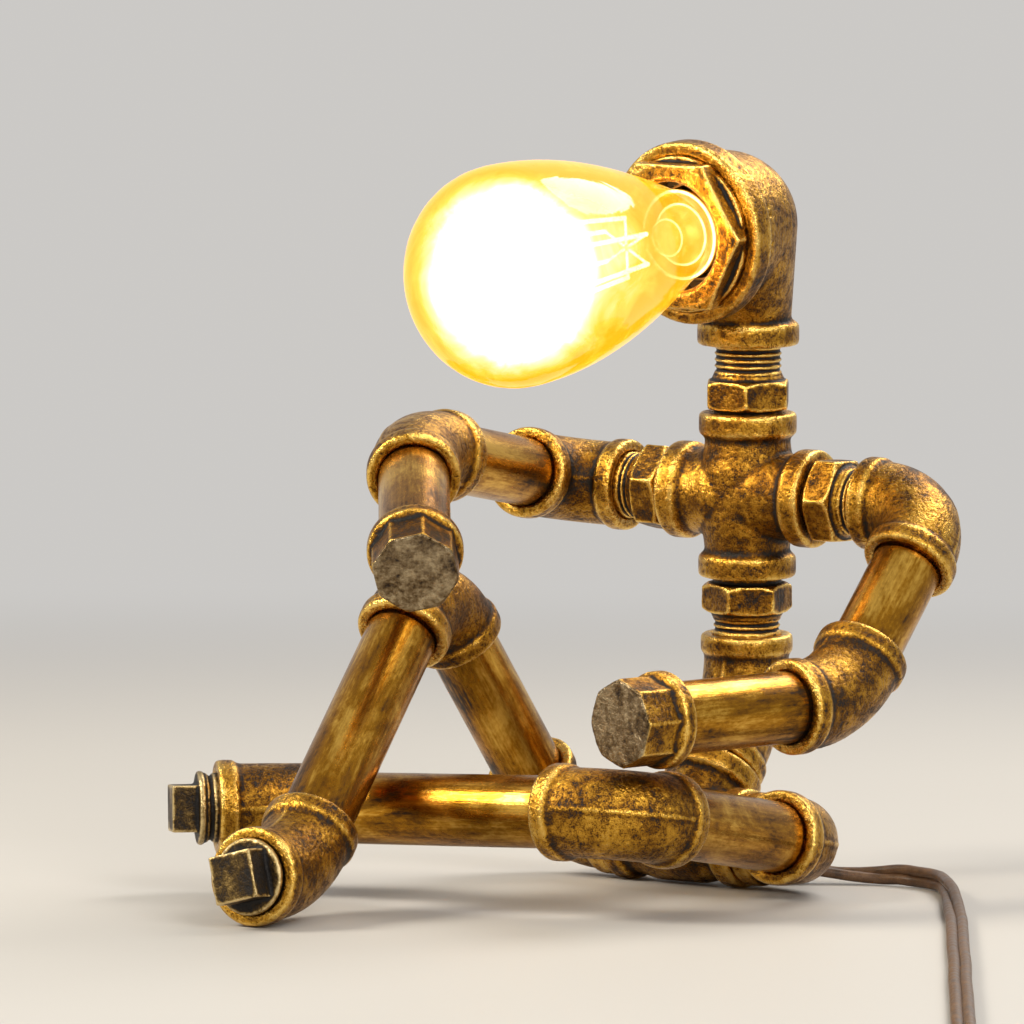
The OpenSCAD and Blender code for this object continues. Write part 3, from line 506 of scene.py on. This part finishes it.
def bronzeMaterial(name, look, darker=0.0, rough=0.30, pits=0.20, bare=False):
    made, tree, shader = newMaterial(name)
    place = objectPlace(tree)
    blotch = noise(tree, place, look["blotch"], 4, 0.6, 0.4)
    patch = noise(tree, place, look["patch"], 4, 0.65, 0.3)
    peel = noise(tree, place, look["peel"], 2, 0.55)
    grain = noise(tree, place, look["grain"], 2, 0.55)
    # 'worn' makes raised places lighter as rubbed paint and hollows darker, partly as dark paint
    # left in them and partly as painted shade
    worn = node(tree, "Attribute", attribute_name="worn").outputs["Fac"]
    # black paint left in the hollows of the grain, more of it in the dark patches
    hollow = summed(tree, 0.0, (peel, 0.30), (grain, 0.45), (patch, 0.25))
    hollow = spread(tree, hollow, 0.38, 0.50, 1.0, 0.0)
    tone = summed(tree, -1.335 - darker, (blotch, 0.95), (patch, 0.75), (peel, 0.30),
                  (grain, 0.35), (worn, 1.25), (hollow, -pits))
    colour = ramp(tree, tone, [(0.10, look["soot"]), (0.27, look["brown"]), (0.44, look["bronze"]),
                               (0.64, look["gold"]), (0.95, look["bright"])])
    if bare:
        # plain iron where the paint is gone
        iron = ramp(tree, summed(tree, 0.0, (peel, 0.35), (patch, 0.8)), look["bare"])
        mix = node(tree, "Mix", data_type="RGBA")
        share = node(tree, "Attribute", attribute_name="bare").outputs["Fac"]
        tree.links.new(share, mix.inputs[0])
        tree.links.new(colour, mix.inputs[6])
        tree.links.new(iron, mix.inputs[7])
        colour = mix.outputs[2]
    tree.links.new(colour, shader.inputs["Base Color"])
    tree.links.new(spread(tree, tone, 0.08, 0.42, 0.45, 1.0), shader.inputs["Metallic"])
    tree.links.new(spread(tree, tone, 0.15, 0.75, rough + 0.22, rough - 0.04),
                   shader.inputs["Roughness"])
    bump(tree, summed(tree, 0.0, (grain, 0.35), (peel, 1.0)), shader, 0.75, 0.0006)
    return made


def pipeMaterial(name, look):
    made, tree, shader = newMaterial(name)
    # each noise is drawn out along the pipe by its own share
    brushed = noise(tree, pipePlace(tree, 0.12), 1500, 3, 0.6)
    scratch = noise(tree, pipePlace(tree, 0.05), 700, 4, 0.7)
    smoke = noise(tree, pipePlace(tree, 0.5), 70, 6, 0.68, 0.7)
    cloud = noise(tree, pipePlace(tree), 34, 3, 0.55, 0.3)
    fleck = noise(tree, pipePlace(tree, 0.45), 1100, 3, 0.65)
    # 'worn' on a pipe falls to 0 at its ends, so the ends come out darker: painted shade where the
    # pipe goes into a fitting
    ends = node(tree, "Attribute", attribute_name="worn").outputs["Fac"]
    tone = summed(tree, -2.43, (smoke, 2.1), (cloud, 1.0), (fleck, 0.55), (scratch, 0.95),
                  (ends, 0.75))
    colour = ramp(tree, tone, [(0.04, look["soot"]), (0.20, look["brown"]), (0.38, look["bronze"]),
                               (0.62, look["pipeGold"]), (1.0, look["pipeBright"])])
    tree.links.new(colour, shader.inputs["Base Color"])
    tree.links.new(spread(tree, tone, 0.02, 0.36, 0.45, 1.0), shader.inputs["Metallic"])
    tree.links.new(spread(tree, tone, 0.1, 0.6, 0.46, 0.25), shader.inputs["Roughness"])
    bump(tree, summed(tree, 0.0, (fleck, 0.5), (brushed, 0.7)), shader, 0.35, 0.0002)
    return made


castBronze = bronzeMaterial("castBronze", bronzeLook)
hexBronze = bronzeMaterial("hexBronze", bronzeLook, 0.05)
# the face bushing's copy is lighter than the others: painted light from the bulb falling on the
# face
bulbLitFaceBronze = bronzeMaterial("bulbLitFaceBronze", bronzeLook, -0.10, 0.26, 0.25)
capBronze = bronzeMaterial("capBronze", bronzeLook, 0.04, bare=True)
pipeBronze = pipeMaterial("pipeBronze", bronzeLook)
ironLook = {**bronzeLook, "brown": (0.028, 0.019, 0.012), "bronze": (0.095, 0.060, 0.024),
            "gold": (0.30, 0.195, 0.065), "bright": (0.66, 0.50, 0.24)}
darkIron = bronzeMaterial("darkIron", ironLook, 0.12, 0.34)


# castings

castLook = {
    # voxel in mm and rounds of smoothing
    "coarse": (0.58, 3), "fine": (0.41, 2), "wornReach": 0.20,
    "castings": {
        "chest_cross": "chestCross", "pelvis_tee": "pelvisTee", "waist_elbow": "waistElbow",
        "head_elbow": "headElbow",
        "right_shoulder_elbow": "rightShoulderElbow", "right_arm_elbow": "rightArmElbow",
        "left_shoulder_elbow": "leftShoulderElbow", "left_arm_elbow": "leftArmElbow",
        "right_hip_elbow": "rightHipElbow", "right_knee_elbow": "rightKneeElbow",
        "right_foot_elbow": "rightFootElbow", "left_hip_elbow": "leftHipElbow",
        "left_knee_elbow": "leftKneeElbow", "left_foot_elbow": "leftFootElbow",
    },
    "nipples": {
        "waist_hex_nipple": "waistHexagon", "neck_hex_nipple": "neckHexagon",
        "right_shoulder_nipple": "rightShoulderHexagon",
        "left_shoulder_nipple": "leftShoulderHexagon",
    },
    "caps": {"right_hand_cap": ("rightHandCap", "right_forearm"),
             "left_hand_cap": ("leftHandCap", "left_forearm")},
    "bareDepth": (0.9, 0.4),   # how far behind a cap's end the paint is gone, mm
    "feet": {"right_foot_plug": "rightFootPlug", "left_foot_plug": "leftFootPlug"},
}


def coordinates(data):
    co = np.zeros(len(data.vertices) * 3)
    data.vertices.foreach_get("co", co)
    return co.reshape(-1, 3)


def wearAndShadeAttribute(data, reach):
    # how far each place stands out (above 0.5) or lies in a hollow (below 0.5)
    co = coordinates(data)
    count = len(co)
    normals = np.zeros(count * 3)
    data.vertex_normals.foreach_get("vector", normals)
    normals = normals.reshape(-1, 3)
    ends = np.zeros(len(data.edges) * 2, int)
    data.edges.foreach_get("vertices", ends)
    a, b = ends.reshape(-1, 2).T
    pairs = np.bincount(a, minlength=count) + np.bincount(b, minlength=count)

    def nextTo(values):
        total = np.bincount(a, values[b], count) + np.bincount(b, values[a], count)
        return total / np.maximum(pairs, 1)

    around = np.stack([nextTo(co[:, i]) for i in range(3)], 1)
    bulge = -((around - co) * normals).sum(1)
    bulge = 0.5 * bulge + 0.5 * nextTo(bulge)
    # standing-out places come out lighter as rubbed paint; hollows come out darker, partly dark
    # paint and partly painted shade
    worn = np.clip(0.5 + bulge / (2 * reach), 0, 1)
    data.attributes.new("worn", "FLOAT", "POINT").data.foreach_set("value", worn)


def castCopy(name, cadNode, material, detail):
    # a node's own shape with the soft edges and hollows of a casting
    voxel, rounds = castLook[detail]
    mesh = cadCopy(cadNode)
    rough = bpy.data.meshes.new(name + "Rough")
    mesh.to_mesh(rough)
    mesh.free()
    holder = bpy.data.objects.new(name + "Rough", rough)
    scene.collection.objects.link(holder)
    remesh = holder.modifiers.new("remesh", "REMESH")
    remesh.mode = "VOXEL"
    remesh.voxel_size = voxel * mm
    seen = holder.evaluated_get(bpy.context.evaluated_depsgraph_get())
    mesh = bmesh.new()
    mesh.from_mesh(seen.data)
    bpy.data.objects.remove(holder)
    bpy.data.meshes.remove(rough)
    for _ in range(rounds):
        bmesh.ops.smooth_vert(mesh, verts=mesh.verts, factor=0.5, use_axis_x=True,
                              use_axis_y=True, use_axis_z=True)
    piece = newPiece(name, mesh, bodyOf(cadNode), [cadNode], 180)
    wearAndShadeAttribute(piece.data, castLook["wornReach"] * voxel * voxel * mm)
    paint(piece, material)
    return piece


def bareEnd(piece, pipe, look):
    # marks the flat end that faces away from the pipe
    tube = np.array([v.co for v in frame["nodes"][pipe].data.vertices])
    axis = np.linalg.svd(tube - tube.mean(0), full_matrices=False)[2][0]
    far = (coordinates(piece.data) - tube.mean(0)) @ axis
    if far.mean() < 0:
        far = -far
    start, full = (far.max() - depth * mm for depth in look["bareDepth"])
    bare = np.clip((far - start) / (full - start), 0, 1)
    piece.data.attributes.new("bare", "FLOAT", "POINT").data.foreach_set("value", bare)


for cadNode, name in castLook["castings"].items():
    castCopy(name, cadNode, castBronze, "coarse")
for cadNode, name in castLook["nipples"].items():
    castCopy(name, cadNode, hexBronze, "fine")
for cadNode, (name, pipe) in castLook["caps"].items():
    bareEnd(castCopy(name, cadNode, capBronze, "fine"), pipe, castLook)
for cadNode, name in castLook["feet"].items():
    castCopy(name, cadNode, darkIron, "fine")
# the face bushing takes the lighter copy, with painted bulb light
castCopy("faceBushing", "face_bushing", bulbLitFaceBronze, "fine")
print("castings made")


# pipes

pipeLook = {
    "pipes": {
        "right_upper_arm": "rightUpperArm", "right_forearm": "rightForearm",
        "left_upper_arm": "leftUpperArm", "left_forearm": "leftForearm",
        "right_thigh": "rightThigh", "right_shin": "rightShin",
        "left_thigh": "leftThigh", "left_shin": "leftShin",
    },
    # the darker stretch at each end is painted shade where the pipe goes into a fitting
    "shadedEnd": 16,   # length of the darker stretch at each end, mm
    "cut": 1.5,    # length between rings, mm
    "apart": 0.31,   # shift of the pattern from one pipe to the next, m
    "nipples": ["waist_close_nipple", "right_hip_nipple", "left_hip_nipple"],
}


def pipePiece(name, cadNode, look, shift):
    # the tube cut into rings, with its own place along and round the pipe kept on it
    mesh = cadCopy(cadNode)
    co = np.array([v.co for v in mesh.verts])
    axis = np.linalg.svd(co - co.mean(0), full_matrices=False)[2][0]
    far = (co - co.mean(0)) @ axis
    middle = co.mean(0) + axis * (far.max() + far.min()) / 2
    half = (far.max() - far.min()) / 2
    cuts = int(2 * half / (look["cut"] * mm))
    for i in range(1, cuts):
        at = middle + axis * (2 * half * i / cuts - half)
        bmesh.ops.bisect_plane(mesh, geom=mesh.verts[:] + mesh.edges[:] + mesh.faces[:],
                               dist=1e-7, plane_co=at, plane_no=axis)
    piece = newPiece(name, mesh, bodyOf(cadNode), [cadNode])
    turn = np.array(Vector(axis).to_track_quat("Z", "Y").to_matrix())
    local = (coordinates(piece.data) - middle) @ turn
    # darker towards each end, where the pipe goes into a fitting: painted shade
    worn = np.clip((half - np.abs(local[:, 2])) / (look["shadedEnd"] * mm), 0, 1) ** 0.5
    local[:, 2] += shift
    place = piece.data.attributes.new("pipePlace", "FLOAT_VECTOR", "POINT")
    place.data.foreach_set("vector", local.ravel())
    piece.data.attributes.new("worn", "FLOAT", "POINT").data.foreach_set("value", worn)
    paint(piece, pipeBronze)


for i, (cadNode, name) in enumerate(pipeLook["pipes"].items()):
    pipePiece(name, cadNode, pipeLook, pipeLook["apart"] * i)
for cadNode in pipeLook["nipples"]:
    paint(frame["nodes"][cadNode], darkIron)
print("pipes made")


# bulb

bulbTurn = next(j for j in frame["record"]["behaviour"]["joints"] if j["name"] == "bulb_turn")
bulbLook = {
    "mouth": tuple(bulbTurn["pos_m"]), "axis": tuple(bulbTurn["axis"]),
    "white": (1.0, 0.95, 0.74), "hot": (1.0, 0.86, 0.40), "warm": (1.0, 0.62, 0.06),
    "amber": (0.95, 0.41, 0.004), "tint": (0.20, 0.09, 0.008),
    "glow": (1.15, 2.6), "ringGlow": 2.4, "stemGlow": 0.35, "wireGlow": 60,
    "ring": ((1.0, 0.66, 0.20), (1.0, 0.90, 0.58)), "ringTint": (1.0, 0.85, 0.6),
    "stem": ((0.9, 0.55, 0.2), (1.0, 0.82, 0.5)), "stemLight": (1.0, 0.62, 0.18),
    "wire": ((1.0, 0.72, 0.32), (1.0, 0.84, 0.50)), "wireTint": (1.0, 0.8, 0.4),
    "brass": ((0.42, 0.26, 0.08), (0.78, 0.56, 0.24)),
    "rings": ((13.4, 2.2, 0.45), (9.3, 1.3, 0.35), (5.6, 8.0, 0.30)),   # radius, height, thickness
}


def alongBulb(tree, look):
    # 0 at the face and 1 a tenth of a metre in front of it
    made = node(tree, "VectorMath", operation="DOT_PRODUCT")
    tree.links.new(objectPlace(tree), made.inputs[0])
    made.inputs[1].default_value = look["axis"]
    start = sum(a * b for a, b in zip(look["mouth"], look["axis"]))
    return maths(tree, "MULTIPLY", maths(tree, "SUBTRACT", made.outputs["Value"], start), 10.0)


def glassMaterial(look):
    # tinted glass: a blaze seen through its middle, amber where the glass is seen edge on
    made, tree, shader = newMaterial("bulbGlass")
    far = alongBulb(tree, look)
    wave = noise(tree, objectPlace(tree), 45, 4, 0.6, 1.4)
    edge = node(tree, "LayerWeight")
    edge.inputs["Blend"].default_value = 0.5
    middle = spread(tree, edge.outputs["Facing"], 0.08, 0.72, 1.0, 0.0)
    lit = maths(tree, "MULTIPLY", middle, spread(tree, far, 0.12, 0.58))
    lit = maths(tree, "MULTIPLY_ADD", maths(tree, "SUBTRACT", wave, 0.5), 0.80, lit)
    colour = ramp(tree, lit, [(0.0, look["amber"]), (0.22, look["warm"]), (0.46, look["hot"]),
                              (0.75, look["white"])])
    tree.links.new(colour, shader.inputs["Emission Color"])
    tree.links.new(spread(tree, lit, 0.42, 0.80, *look["glow"]), shader.inputs["Emission Strength"])
    tree.links.new(spread(tree, far, 0.05, 0.62, 0.34, 0.84), shader.inputs["Alpha"])
    shader.inputs["Base Color"].default_value = (*look["tint"], 1)
    shader.inputs["Roughness"].default_value = 0.06
    shader.inputs["IOR"].default_value = 1.45
    bump(tree, wave, shader, 0.08, 0.002)
    return made


def neckRings(look):
    # the beads where the neck and the stem are melted together
    mesh = bmesh.new()
    for radius, height, thick in look["rings"]:
        outline = [(radius + thick * math.cos(a), height + thick * math.sin(a))
                   for a in (math.tau * i / 12 for i in range(13))]
        ringSpin(mesh, outline)
    placed(mesh, mesh.verts, axisFrame(look["mouth"], look["axis"]))
    bmesh.ops.recalc_face_normals(mesh, faces=mesh.faces)
    piece = newPiece("bulbNeckRings", mesh, "bulb")
    made, tree, shader = newMaterial("beadGlass")
    wave = noise(tree, objectPlace(tree), 260, 3, 0.6)
    tree.links.new(ramp(tree, wave, zip((0.3, 0.6), look["ring"])), shader.inputs["Emission Color"])
    # the beads' glow is painted light: the wires' light caught in the glass, drawn as the beads'
    # own
    shader.inputs["Emission Strength"].default_value = look["ringGlow"]
    shader.inputs["Base Color"].default_value = (*look["ringTint"], 1)
    shader.inputs["Roughness"].default_value = 0.1
    paint(piece, made)


def stemMaterial(look):
    made, tree, shader = newMaterial("stemGlass")
    wave = noise(tree, objectPlace(tree), 160, 2, 0.5)
    tree.links.new(ramp(tree, wave, zip((0.3, 0.7), look["stem"])), shader.inputs["Base Color"])
    shader.inputs["Roughness"].default_value = 0.08
    shader.inputs["IOR"].default_value = 1.5
    tree.links.new(spread(tree, wave, 0.3, 0.7, 0.20, 0.42), shader.inputs["Alpha"])
    # the stem's glow is painted light: the wires' light caught in the glass, drawn as the stem's
    # own
    shader.inputs["Emission Color"].default_value = (*look["stemLight"], 1)
    shader.inputs["Emission Strength"].default_value = look["stemGlow"]
    return made


def wireMaterial(look):
    made, tree, shader = newMaterial("hotWire")
    grain = noise(tree, objectPlace(tree), 900, 2, 0.5)
    tree.links.new(ramp(tree, grain, zip((0.3, 0.7), look["wire"])),
                   shader.inputs["Emission Color"])
    shader.inputs["Emission Strength"].default_value = look["wireGlow"]
    shader.inputs["Base Color"].default_value = (*look["wireTint"], 1)
    shader.inputs["Roughness"].default_value = 0.5
    return made


def brassMaterial(look):
    made, tree, shader = newMaterial("spunBrass")
    place = objectPlace(tree)
    cloud = noise(tree, place, 140, 4, 0.6)
    fine = noise(tree, place, 2200, 2, 0.5)
    tree.links.new(ramp(tree, cloud, zip((0.3, 0.7), look["brass"])), shader.inputs["Base Color"])
    tree.links.new(spread(tree, cloud, 0.3, 0.7, 0.36, 0.24), shader.inputs["Roughness"])
    shader.inputs["Metallic"].default_value = 1
    bump(tree, fine, shader, 0.1, 0.0002)
    return made


spunBrass = brassMaterial(bulbLook)
holderBlack = plasticMaterial("holderBlack", (0.014, 0.011, 0.009), (0.05, 0.035, 0.022), 0.3, 1500)
smoothCopy("bulbGlassPear", "bulb_glass", glassMaterial(bulbLook), 60)
smoothCopy("bulbStemTube", "bulb_stem", stemMaterial(bulbLook), 50)
smoothCopy("bulbWires", "bulb_filaments", wireMaterial(bulbLook), 50)
smoothCopy("bulbScrewBase", "bulb_base", spunBrass, 40)
neckRings(bulbLook)
paint(frame["nodes"]["holder_shell"], spunBrass)
paint(frame["nodes"]["holder_contact"], spunBrass)
paint(frame["nodes"]["holder_body"], holderBlack)
print("bulb made")


# floor, light and background

stageLook = {
    "floor": (0.58, 0.56, 0.53), "sky": (0.60, 0.585, 0.565), "fill": 0.45, "half": 14,
    "nearFloor": 0.45, "farFloor": 1.6,   # where the floor starts to fade into the background, m
    "lamps": [
        # place in metres, size, power, colour
        ((-0.75, -0.85, 0.95), 0.55, 17, (1.0, 0.93, 0.80)),
        ((1.05, -0.55, 0.75), 0.70, 9, (1.0, 0.97, 0.92)),
        ((0.15, 0.95, 1.15), 0.80, 14, (1.0, 0.95, 0.88)),
    ],
    "aim": (0.0, 0.0, 0.10),
}


def seenDirectly(tree):
    path = node(tree, "LightPath")
    seen = maths(tree, "MAXIMUM", path.outputs["Is Camera Ray"], path.outputs["Is Glossy Ray"])
    return maths(tree, "MAXIMUM", seen, path.outputs["Is Transmission Ray"])


def makeFloor(look):
    # pale, and hazy where it goes over into the background
    mesh = bmesh.new()
    bmesh.ops.create_grid(mesh, x_segments=8, y_segments=8, size=look["half"])
    data = bpy.data.meshes.new("floor")
    mesh.to_mesh(data)
    mesh.free()
    floor = bpy.data.objects.new("floor", data)
    scene.collection.objects.link(floor)
    made, tree, shader = newMaterial("floorPale")
    cloud = noise(tree, objectPlace(tree), 3, 3, 0.5)
    base = look["floor"]
    tree.links.new(ramp(tree, cloud, [(0.2, tuple(c * 0.97 for c in base)), (0.8, base)]),
                   shader.inputs["Base Color"])
    shader.inputs["Roughness"].default_value = 0.55
    apart = node(tree, "VectorMath", operation="LENGTH")
    tree.links.new(objectPlace(tree), apart.inputs[0])
    away = spread(tree, apart.outputs["Value"], look["nearFloor"], look["farFloor"])
    haze = node(tree, "Emission")
    haze.inputs["Color"].default_value = (*look["sky"], 1)
    mix = node(tree, "MixShader")
    tree.links.new(maths(tree, "MULTIPLY", away, seenDirectly(tree)), mix.inputs["Fac"])
    tree.links.new(shader.outputs["BSDF"], mix.inputs[1])
    tree.links.new(haze.outputs["Emission"], mix.inputs[2])
    tree.links.new(mix.outputs["Shader"], tree.nodes["Material Output"].inputs["Surface"])
    paint(floor, made)


def makeSky(look):
    world = bpy.data.worlds.new("studio")
    world.use_nodes = True
    scene.world = world
    tree = world.node_tree
    soft = tree.nodes["Background"]
    soft.inputs["Color"].default_value = (*look["sky"], 1)
    soft.inputs["Strength"].default_value = look["fill"]
    seen = node(tree, "Background")
    seen.inputs["Color"].default_value = (*look["sky"], 1)
    seen.inputs["Strength"].default_value = 1
    mix = node(tree, "MixShader")
    tree.links.new(seenDirectly(tree), mix.inputs["Fac"])
    tree.links.new(soft.outputs["Background"], mix.inputs[1])
    tree.links.new(seen.outputs["Background"], mix.inputs[2])
    tree.links.new(mix.outputs["Shader"], tree.nodes["World Output"].inputs["Surface"])


def makeLamps(look):
    for i, (place, size, power, colour) in enumerate(look["lamps"]):
        data = bpy.data.lights.new(f"softLamp{i}", "AREA")
        data.shape = "DISK"
        data.size, data.energy, data.color = size, power, colour
        lamp = bpy.data.objects.new(f"softLamp{i}", data)
        away = (Vector(place) - Vector(look["aim"])).to_track_quat("Z", "Y")
        lamp.matrix_world = Matrix.Translation(place) @ away.to_matrix().to_4x4()
        scene.collection.objects.link(lamp)


makeFloor(stageLook)
makeSky(stageLook)
makeLamps(stageLook)
scene.view_settings.view_transform = "Standard"
print("stage made")
